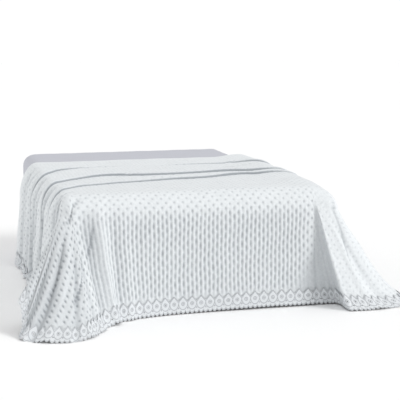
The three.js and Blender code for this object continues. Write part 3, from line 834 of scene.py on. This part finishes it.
# Strength of the painted shade in the quilting's dips, in the creases, hollow and fan, and in the lace's
# grooves, from 0 to 1.
DIP_SHADE, SHADE_DARK, LINE_SHADE = 0.72, 1.1, 0.6
# Heights of the fine reliefs, in millimetres.
DIP_BUMP, CRINKLE_BUMP, LINE_BUMP = -1.8, -3.0, -1.2


def quilt_material():
    """White quilted cotton with painted shade in the dips, the creases, the right corner's hollow and the
    left fan, uneven in tone and a little crinkled.
    """
    look = Shader("quilted cotton", 0.88, 0.12)
    x, y = look.flat()
    across = look.math("DIVIDE", x, COLUMN * MM)
    column = look.math("ROUND", across)
    odd = look.math("FLOORED_MODULO", column, 2.0)
    down = look.math("MULTIPLY_ADD", odd, 0.5, look.math("DIVIDE", y, PITCH * MM))
    off_across = look.math("DIVIDE", look.math("SUBTRACT", across, column), DIP_WIDE * 1.15)
    off_row = look.math("SUBTRACT", down, look.math("ROUND", down))
    off_down = look.math("DIVIDE", off_row, look.attribute("tall"))
    far = look.math("ADD", look.math("POWER", off_across, 2.0), look.math("POWER", off_down, 2.0))
    dip = look.math("EXPONENT", look.math("MULTIPLY", far, -0.7))
    uneven = look.math("MULTIPLY_ADD", look.noise(look.place(), 24), 0.7, 0.65)
    dip = look.math("MULTIPLY", dip, look.math("MULTIPLY", look.attribute("quilt"), uneven))
    # Painted shade in the dips, and in the creases, hollow and fan.
    dark = look.math("MULTIPLY_ADD", dip, DIP_SHADE, look.math("MULTIPLY", look.attribute("tuck"), SHADE_DARK))
    crinkle = look.noise(look.place(), 75, 3)
    # Random tone, and darker where the crinkle's bump sinks.
    dark = look.math("ADD", dark, look.math("MULTIPLY", look.noise(look.place(), 9), 0.12))
    dark = look.math("ADD", dark, look.math("MULTIPLY_ADD", crinkle, 0.35, -0.12))
    dark = look.math("MINIMUM", look.math("MAXIMUM", dark, 0.0), 1.0)
    colour = look.mix(dark, QUILT_COLOUR, QUILT_SHADE_AND_TONE)
    weave = look.math("MULTIPLY", look.weave(x, y, 1.6), 0.12)
    slub = look.math("MULTIPLY", look.noise(look.place(), 420, 2), 0.35)
    height = look.math("MULTIPLY_ADD", dip, DIP_BUMP, look.math("ADD", weave, slub))
    height = look.math("MULTIPLY_ADD", crinkle, CRINKLE_BUMP, height)
    return look.finish(colour, height)


def lace_material():
    """Dense lace: a net between grooves that are darkened with painted shade."""
    look = Shader("guipure lace", 0.8, 0.08)
    x, y = look.flat()
    groove = 0.0
    for line in ("outline", "ring", "rim", "crown"):
        distance = look.attribute(line)
        near = look.math("POWER", look.math("DIVIDE", distance, LINE), 2.0)
        groove = look.math("MAXIMUM", groove, look.math("EXPONENT", look.math("MULTIPLY", near, -1.0)))
    net = look.math("MULTIPLY_ADD", look.weave(x, y, 4.0), 0.4, 0.4)
    thread = look.math("MULTIPLY", look.noise(look.place(), 600, 2), 0.3)
    cloth_colour = look.mix(net, NET_COLOUR, LACE_COLOUR)
    # Painted shade darkens the lace along its grooves.
    colour = look.mix(look.math("MULTIPLY", groove, LINE_SHADE), cloth_colour, GROOVE_SHADE_COLOUR)
    height = look.math("MULTIPLY_ADD", groove, LINE_BUMP, look.math("ADD", net, thread))
    return look.finish(colour, height)


def plain_material(name, colour, roughness, weave_pitch, weave_height):
    """Plain cloth whose weave is a fine noise, so that it needs no flat map."""
    look = Shader(name, roughness, 0.1)
    patch = look.math("MULTIPLY", look.noise(look.place(), 5), 0.16)
    fine = look.noise(look.place(), 1 / (weave_pitch * MM), 2)
    soft = tuple(c * 0.82 for c in colour[:3]) + (1,)
    coarse = look.math("MULTIPLY", look.noise(look.place(), 26), 1.2)
    height = look.math("MULTIPLY_ADD", fine, weave_height, coarse)
    return look.finish(look.mix(patch, colour, soft), height)


def dress(thing, material, slot, *nodes):
    """Gives a piece its material, hides the nodes that it replaces and hangs it on the root."""
    thing.data.materials.append(material)
    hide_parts(*nodes)
    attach(thing, "root")
    return thing


cloth = dress(build_panel(), quilt_material(), "quilted_cloth", "coverlet")
lace_cloth = lace_material()
for node, start, end, motifs in (
    ("lace_left", 0, LENGTH, MOTIFS_SIDE),
    ("lace_foot", LENGTH, HEM_LENGTH - LENGTH, MOTIFS_FOOT),
    ("lace_right", HEM_LENGTH - LENGTH, HEM_LENGTH, MOTIFS_SIDE),
):
    lace = build_lace(node.replace("lace", "border"), start, end, motifs)
    dress(lace, lace_cloth, "lace", node)

MATTRESS = {"half_x": 698, "half_y": 998, "z0": 360.3, "z1": 660, "corner": 60, "edge": 80}
BASE = {"half_x": 682, "half_y": 982, "z0": 0, "z1": 360, "corner": 60, "edge": 6}
mattress = build_slab("sheeted_mattress", **MATTRESS, wrinkles=sheet_wrinkles)
sheet_cloth = plain_material("sheet cotton", SHEET_COLOUR, 0.8, 1.1, 0.25)
dress(mattress, sheet_cloth, "sheet_cloth", "mattress")
base = build_slab("divan_base", **BASE, wrinkles=base_wrinkles)
dress(base, plain_material("base cloth", BASE_COLOUR, 0.9, 2.2, 0.5), "base_cloth", "bed_base")

FLOOR_HALF = 30000
floor_corners = [(x * FLOOR_HALF, y * FLOOR_HALF, 0) for x, y in [(-1, -1), (1, -1), (1, 1), (-1, 1)]]
floor = mesh_object("floor", floor_corners, [(0, 1, 2, 3)])
floor_shader = Shader("pale floor", 0.9, 0.0)
floor.data.materials.append(floor_shader.finish((1, 1, 1, 1), 0.0))

# The camera in metres and degrees: how far it looks down, and to the right of straight ahead.
CAMERA = {"place": (-1.596, -7.160, 1.630), "down": 9.05, "right": 14.78, "lens": 108, "sensor": 36}
camera_data = bpy.data.cameras.new("camera")
camera_data.lens = CAMERA["lens"]
camera_data.sensor_width = CAMERA["sensor"]
camera = bpy.data.objects.new("camera", camera_data)
camera.location = CAMERA["place"]
camera.rotation_euler = (radians(90 - CAMERA["down"]), 0, radians(-CAMERA["right"]))
bpy.context.scene.collection.objects.link(camera)
bpy.context.scene.camera = camera


def soft_sun(name, towards, spread, strength):
    """A sun whose light comes from the way given, softened over an angle in degrees."""
    data = bpy.data.lights.new(name, "SUN")
    data.angle = radians(spread)
    data.energy = strength
    lamp = bpy.data.objects.new(name, data)
    lamp.rotation_euler = Vector(towards).to_track_quat("Z", "Y").to_euler()
    bpy.context.scene.collection.objects.link(lamp)


soft_sun("key", (0.66, -0.52, 0.52), 22, 1.5)
soft_sun("overhead", (-0.15, -0.1, 1.0), 60, 0.25)
soft_sun("fill", (-0.9, 0.4, 0.3), 60, 0.8)

# The world's light on the object, and how much brighter it is where the camera sees it.
WORLD_LIGHT, SEEN_EXTRA = 0.62, 0.43
world = bpy.data.worlds.new("studio")
world.use_nodes = True
bpy.context.scene.world = world
sky = world.node_tree
background = sky.nodes["Background"]
background.inputs["Color"].default_value = (1, 1, 1, 1)
seen = sky.nodes.new("ShaderNodeLightPath").outputs["Is Camera Ray"]
strength = sky.nodes.new("ShaderNodeMath")
strength.operation = "MULTIPLY_ADD"
strength.inputs[1].default_value = SEEN_EXTRA
strength.inputs[2].default_value = WORLD_LIGHT
sky.links.new(seen, strength.inputs[0])
sky.links.new(strength.outputs[0], background.inputs["Strength"])
bpy.context.scene.view_settings.view_transform = "Standard"
